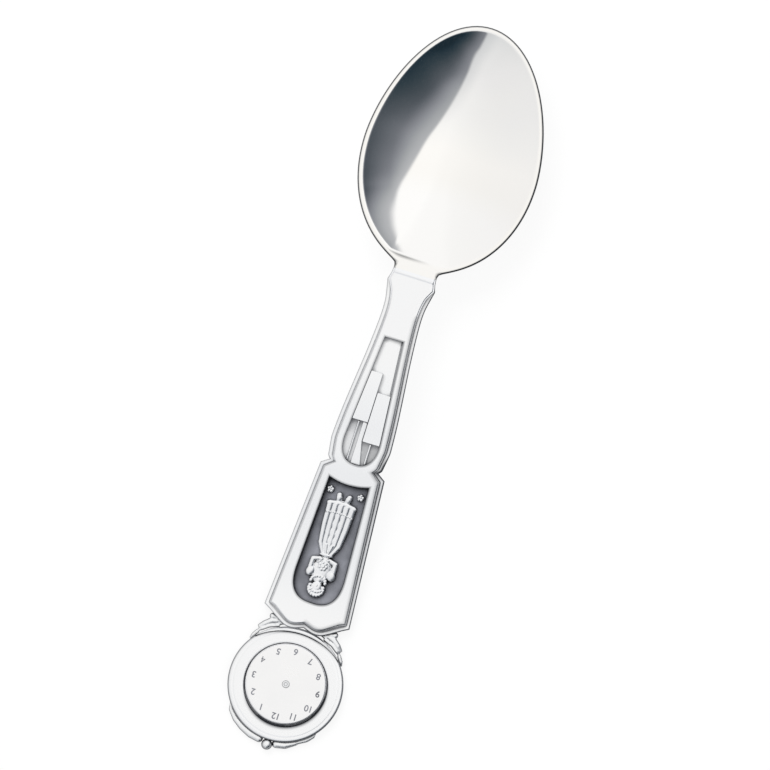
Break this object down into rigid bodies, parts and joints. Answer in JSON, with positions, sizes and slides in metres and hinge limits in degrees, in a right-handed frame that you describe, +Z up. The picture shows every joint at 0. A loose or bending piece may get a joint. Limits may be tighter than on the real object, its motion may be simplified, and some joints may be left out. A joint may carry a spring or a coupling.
{
  "type": "christening spoon",
  "caption": "Silver christening spoon with an egg-shaped bowl and a flat handle shaped as a longcase clock, with a numbered dial, a relief panel and a window with weights.",
  "frame": {"origin": "middle of the spoon's length and width, on the table that it lies on", "axes": "+Y from the dial towards the bowl's tip, +Z up out of the bowl's hollow, +X to the right"},
  "size_m": [0.036, 0.151, 0.0106],
  "materials": {
    "polished_silver": "mirror-polished silver",
    "handle_silver": "bright silver, softly polished",
    "dial_silver": "fine satin silver",
    "relief_silver": "cast silver, satin on the high points",
    "oxidised_silver": "darkened (oxidised) silver, matt"
  },
  "bodies": {
    "root": {"bowl": "polished_silver", "back_plate": "handle_silver", "front_plate": "handle_silver", "panel_insert": "oxidised_silver", "relief_figure": "relief_silver", "rosette_left": "relief_silver", "rosette_right": "relief_silver", "weight_left": "handle_silver", "weight_right": "handle_silver", "weight_line_left": "relief_silver", "weight_line_right": "relief_silver", "pendulum_strip": "relief_silver", "dial_ring": "handle_silver", "dial_plate": "dial_silver", "centre_pin": "dial_silver", "hood_moulding": "handle_silver", "scroll_left": "handle_silver", "scroll_right": "handle_silver", "crest_leaf_left": "handle_silver", "crest_leaf_right": "handle_silver", "crest_bead": "handle_silver"}
  },
  "joints": []
}
